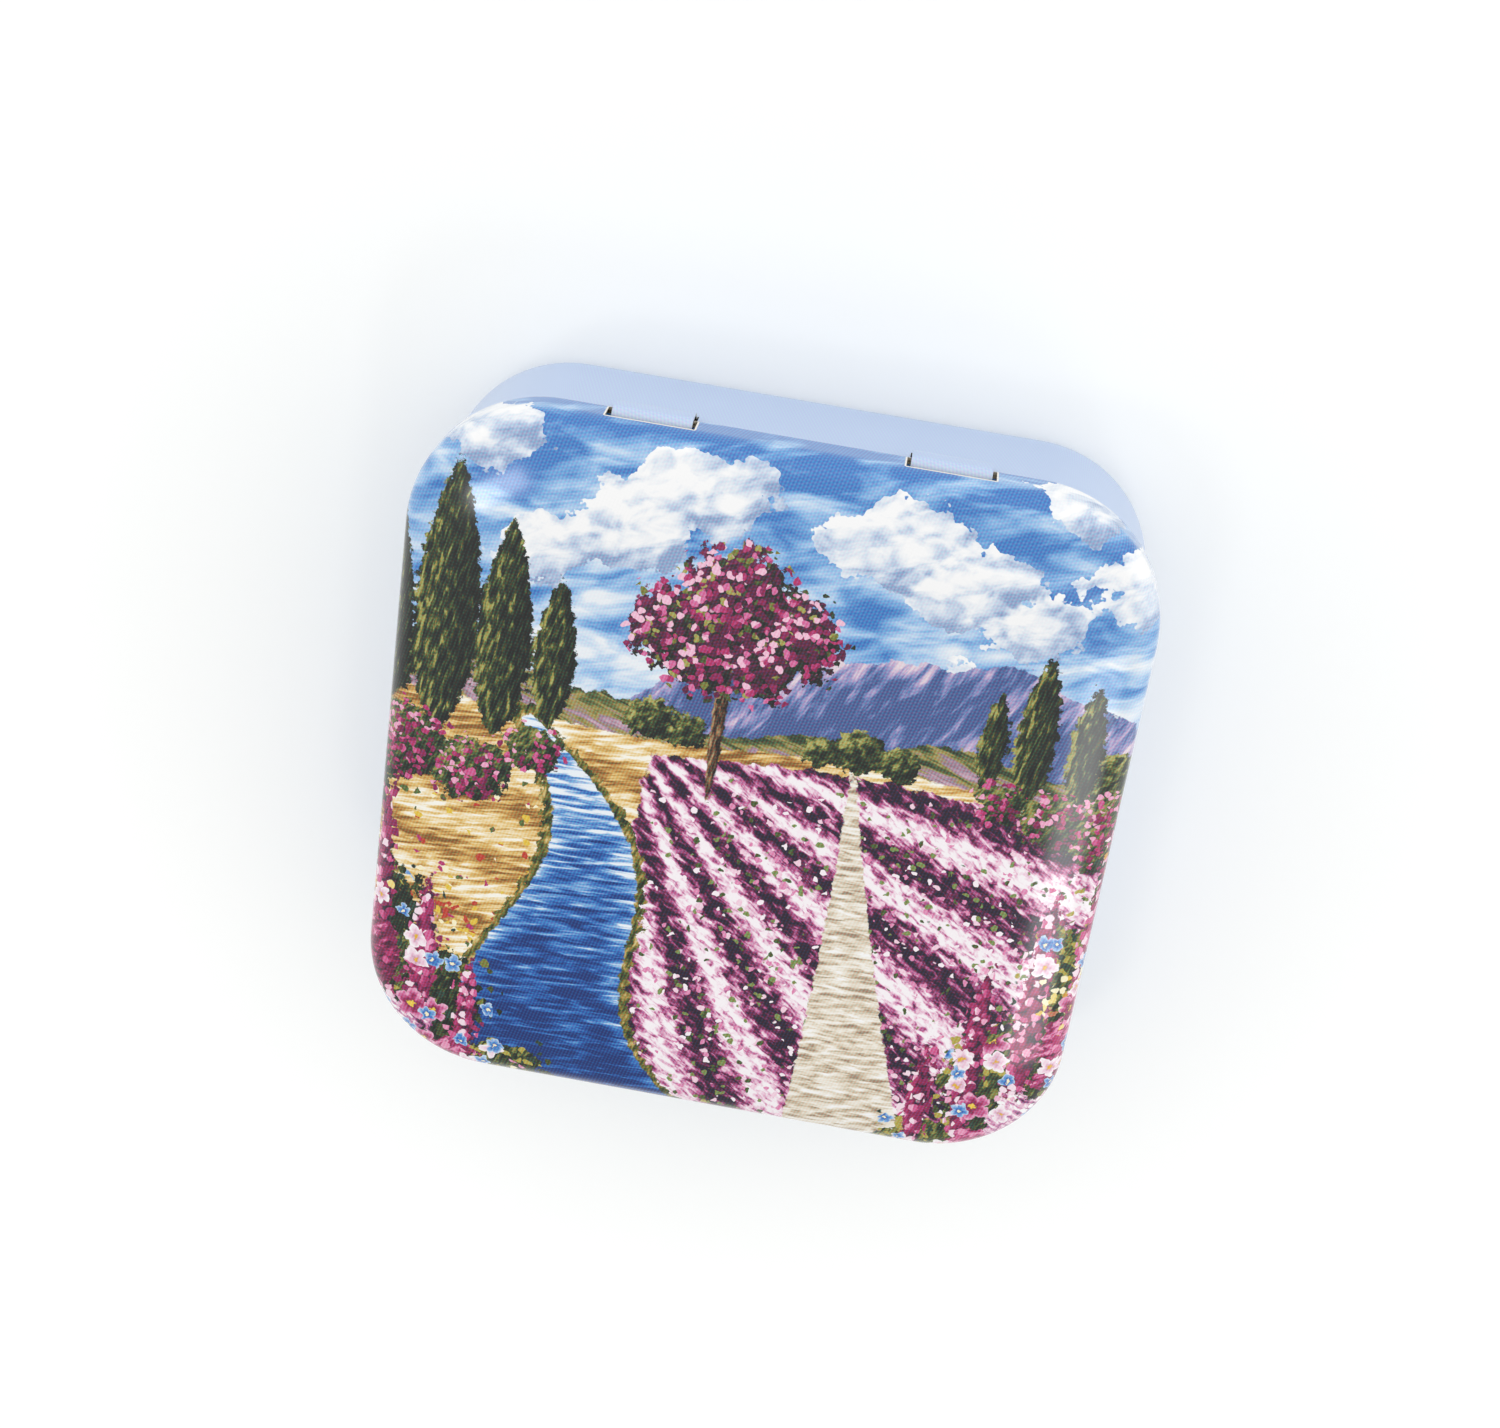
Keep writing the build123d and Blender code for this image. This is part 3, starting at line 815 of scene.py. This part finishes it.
base = {
    "inset": 0.6,  # wall, inside the lid's outer face
    "edgeRadius": 3.0,  # between wall and underside, outside
    "footWidth": 3.0,
    "panelRise": 0.4,
    "panelStep": 1.2,
    "shoulderHeight": 1.7,
    "shoulderTop": 0.4,  # above the bottom of the hem
    "neckGap": 0.35,
    "curlBore": 0.2,
    "curlWrap": 280.0,
    "reliefDepth": 2.65,  # of the cuts beside a tab, below the bottom of the hem
    "tabLean": 2.2,
    "tabWrap": 230.0,
    "hingeGap": 0.05,
    "paintedLightRows": 6,  # rows over which a tab's curl is painted paler, as painted light
    "panelRings": 26,
}


def jog(run, step):
    # Turn and radius of the two equal bends that step a sheet sideways
    halfTurn = np.arctan2(step, run)
    return np.degrees(2 * halfTurn), run / (2 * np.sin(2 * halfTurn))


def makeBase():
    # A section of panel step, foot, bottom bend, wall, shoulder, neck and curl, carried round the
    # plan. The columns on the tabs leave it at the foot of the cuts: they lean out past the hem
    # and curl round it. The cuts beside a tab are cells that are left out.
    wall = tin["corner"] - base["inset"]
    neck = tin["corner"] - 2 * lid["hemRadius"] - base["neckGap"]
    tabFace = tin["corner"] + base["hingeGap"] + tin["sheet"]
    reliefZ = lidLow[2] - base["reliefDepth"]
    neckFoot = lidLow[2] + base["shoulderTop"]
    panel = wall - base["edgeRadius"] - base["footWidth"] - base["panelStep"]
    panelZ = base["panelRise"] + half
    curl = base["curlBore"] + half
    drop, dropRadius = jog(base["panelStep"], base["panelRise"])
    lean, leanRadius = jog(base["shoulderHeight"], wall - neck)
    tabLean, tabLeanRadius = jog(base["tabLean"], tabFace - wall)
    lower = [
        (dropRadius, -drop, 5),
        (dropRadius, drop, 5),
        (base["footWidth"], 0, 3),
        (base["edgeRadius"] - half, 90, 14),
        (reliefZ - base["edgeRadius"], 0, 9),
    ]
    upper = [
        (neckFoot - base["shoulderHeight"] - reliefZ, 0, 2),
        (leanRadius, lean, 6),
        (leanRadius, -lean, 6),
        (baseTop - curl - half - neckFoot, 0, 4),
        (curl, base["curlWrap"], 20),
    ]
    tabRise = [
        (tabLeanRadius, -tabLean, 7),
        (tabLeanRadius, tabLean, 7),
        (hinge[2] - reliefZ - base["tabLean"], 0, 3),
    ]
    tabCurl = [(lid["hemRadius"] + base["hingeGap"] + half, base["tabWrap"], 21)]
    path, lefts = bentPath((panel, panelZ), 0, lower + upper)
    shared = rowsOf(lower)
    tabPath, tabLefts = bentPath(path[shared], 90, tabRise + tabCurl)
    tabPath = np.vstack([path[:shared], tabPath])
    tabLefts = np.vstack([lefts[:shared], tabLefts])

    middle, tabEdge = tin["tabSpacing"] / 2, tin["tabWidth"] / 2
    reliefEdge = tabEdge + tin["reliefWidth"]
    edges = (-reliefEdge, -tabEdge, tabEdge, reliefEdge)
    anchors, outwards = planColumns([side * middle + edge for side in (-1, 1) for edge in edges])
    atBack = outwards[:, 1] == 1
    halfRelief = tin["reliefWidth"] / 2
    onTab = atBack & (np.abs(np.abs(anchors[:, 0]) - middle) < tabEdge + halfRelief)
    chosen = onTab[None, :, None]
    section = np.where(chosen, tabPath[:, None], path[:, None])
    sectionLefts = np.where(chosen, tabLefts[:, None], lefts[:, None])
    points, normals = carried(section, sectionLefts, anchors, outwards)
    unrolled = panel + np.where(onTab, lengthAlong(tabPath)[:, None], lengthAlong(path)[:, None])
    flat = anchors + unrolled[..., None] * outwards
    printPlace = np.dstack([flat, np.zeros(flat.shape[:2])])
    curlRow = shared + rowsOf(tabRise)
    # painted light: the lacquer turns paler over the rows of each tab's curl, to offset its shade
    paintedTabLight = np.clip((np.arange(len(path)) - curlRow) / base["paintedLightRows"], 0, 1)[:, None] * onTab
    rings = base["panelRings"]
    paintedTabLight = np.vstack([np.zeros((rings, len(anchors))), paintedTabLight])[..., None]
    points, normals = centred(points, normals, rings, panelZ)
    printPlace, _ = centred(printPlace, normals, rings, 0)

    between = (anchors + np.roll(anchors, -1, 0)) / 2
    fromTab = np.abs(np.abs(between[:, 0]) - middle)
    inRelief = atBack & (np.abs(fromTab - (tabEdge + reliefEdge) / 2) < halfRelief)
    keep = np.ones((len(points) - 1, len(anchors)), bool)
    keep[rings + shared:, inRelief] = False
    attributes = {"printPlace": printPlace, "paintedTabLight": paintedTabLight}
    sides = [tinplate, lilac, cutEdge]
    return sheetMesh("lacquered_base", points, normals, keep, tin["sheet"], sides, attributes)


magnet = {
    "rings": 20,
    "rows": 3,
    "easedEdge": 0.1,  # bevel along the cut edges
}


def makeMagnet():
    # A flat plate with the tin's own plan, and its thickness up and down from the middle
    out = magnetHigh[0] - cornerX
    thickness = magnetHigh[2] - magnetLow[2]
    height = (magnetHigh[2] + magnetLow[2]) / 2
    path, lefts = bentPath((out / 2, height), 0, [(out / 2, 0, magnet["rows"])])
    anchors, outwards = planColumns([])
    points, normals = carried(path[:, None], lefts[:, None], anchors, outwards)
    points, normals = centred(points, normals, magnet["rings"], height)
    keep = np.ones((len(points) - 1, len(anchors)), bool)
    piece = sheetMesh("needle_magnet", points, normals, keep, thickness, [rubber] * 3, {})
    edge = piece.modifiers.new("easedEdge", "BEVEL")
    edge.width = magnet["easedEdge"] * mm
    edge.segments = 2
    edge.limit_method = "ANGLE"
    return piece


lidPiece = makeLid()
basePiece = makeBase()
magnetPiece = makeMagnet()
for piece, body, node, slot in (
    (lidPiece, "lid", "lid_shell", "lid_print"),
    (basePiece, "base", "base_shell", "base_lacquer"),
    (magnetPiece, "base", "magnetic_sheet", "magnetic_rubber"),
):
    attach(piece, body)
    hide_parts(node)
    print("made", piece.name, len(piece.data.polygons), "faces")

studio = {
    "azimuth": 5.798,  # of the camera, from the hinge side towards the right
    "elevation": 65.567,
    "roll": 195.187,
    "distance": 214.54,
    "target": (-1.099, 4.063, 10.0),
    "lens": 56.37,  # mm, on a sensor 36 mm wide
    "roomLight": 0.87,
    "sideLight": 0.4,
    "rightLight": 0.12,
    "backLight": 0.82,
    "panels": [  # place, width and depth in metres, turn in degrees, power in watts
        ("leftPanel", (-0.255, -0.139, 0.8), 0.17, 0.07, 35, 0.34),
        ("rightPanel", (0.33, -0.43, 0.8), 0.13, 0.24, 0, 0.45),
        ("backPanel", (0.16, -0.145, 0.8), 0.21, 0.03, -8, 0.04),
    ],
    "floorReach": 1.5,  # metres
    "floorLines": 9,
    "floorDrop": 0.02,  # below the tin, so that they do not share a plane
}


def makeCamera():
    # The camera looks at the target from its azimuth and elevation, and is turned by the roll
    azimuth, elevation, roll = (np.radians(studio[key]) for key in ("azimuth", "elevation", "roll"))
    level = np.cos(elevation)
    back = np.array([np.sin(azimuth) * level, np.cos(azimuth) * level, np.sin(elevation)])
    right = np.cross(-back, [0, 0, 1])
    right /= np.linalg.norm(right)
    up = np.cross(right, -back)
    turnedRight = right * np.cos(roll) + up * np.sin(roll)
    turnedUp = -right * np.sin(roll) + up * np.cos(roll)
    data = bpy.data.cameras.new("productCamera")
    data.lens = studio["lens"]
    data.clip_start = 10 * mm
    camera = addObject("productCamera", data)
    place = (np.array(studio["target"]) + studio["distance"] * back) * mm
    turn = Matrix(np.array([turnedRight, turnedUp, back]).T.tolist())
    camera.matrix_world = Matrix.Translation(place.tolist()) @ turn.to_4x4()
    bpy.context.scene.camera = camera


def makeFloor():
    # A flat square grid, a hair below the tin
    lines = studio["floorLines"]
    steps = np.linspace(-studio["floorReach"], studio["floorReach"], lines)
    x, y = np.meshgrid(steps, steps)
    index = np.arange(lines ** 2).reshape(lines, lines)
    faces = np.stack([index[:-1, :-1], index[:-1, 1:], index[1:, 1:], index[1:, :-1]], -1).reshape(-1, 4)
    places = np.dstack([x, y, 0 * x - studio["floorDrop"] * mm]).reshape(-1, 3)
    mesh = bpy.data.meshes.new("table")
    mesh.from_pydata(places.tolist(), [], faces.tolist())
    mesh.materials.append(newMaterial("mattWhiteBoard", whiteBoard))
    addObject("table", mesh)


def makeLights():
    # A white room, brighter at its sides than overhead, with light that slants in from the hinge
    # side: strength = room + back * y * z + (side * x + right) * x, for the way (x, y, z) that is
    # looked in. Three small panels hang flat above the tin and show in its varnish.
    world = bpy.data.worlds.new("whiteStudio")
    world.use_nodes = True
    tree = world.node_tree
    background = tree.nodes["Background"]
    towards = addNode(tree, "TexCoord").outputs["Generated"]
    across, along, up = addNode(tree, "SeparateXYZ", {"Vector": towards}).outputs
    links = {0: across, 1: studio["sideLight"], 2: studio["rightLight"]}
    sides = addNode(tree, "Math", links, "MULTIPLY_ADD")
    slanting = addNode(tree, "Math", {0: along, 1: up}, "MULTIPLY")
    links = {0: slanting, 1: studio["backLight"], 2: studio["roomLight"]}
    room = addNode(tree, "Math", links, "MULTIPLY_ADD")
    strength = addNode(tree, "Math", {0: sides, 1: across, 2: room}, "MULTIPLY_ADD")
    background.inputs["Color"].default_value = toLinear("FFFFFF")
    tree.links.new(strength.outputs[0], background.inputs["Strength"])
    bpy.context.scene.world = world
    for name, place, width, depth, turn, power in studio["panels"]:
        data = bpy.data.lights.new(name, "AREA")
        data.shape = "RECTANGLE"
        data.size = width
        data.size_y = depth
        data.energy = power
        light = addObject(name, data)
        light.location = place
        light.rotation_euler[2] = np.radians(turn)


makeCamera()
makeFloor()
makeLights()
bpy.context.scene.view_settings.view_transform = "Standard"
print("set the camera, the floor and the lights")
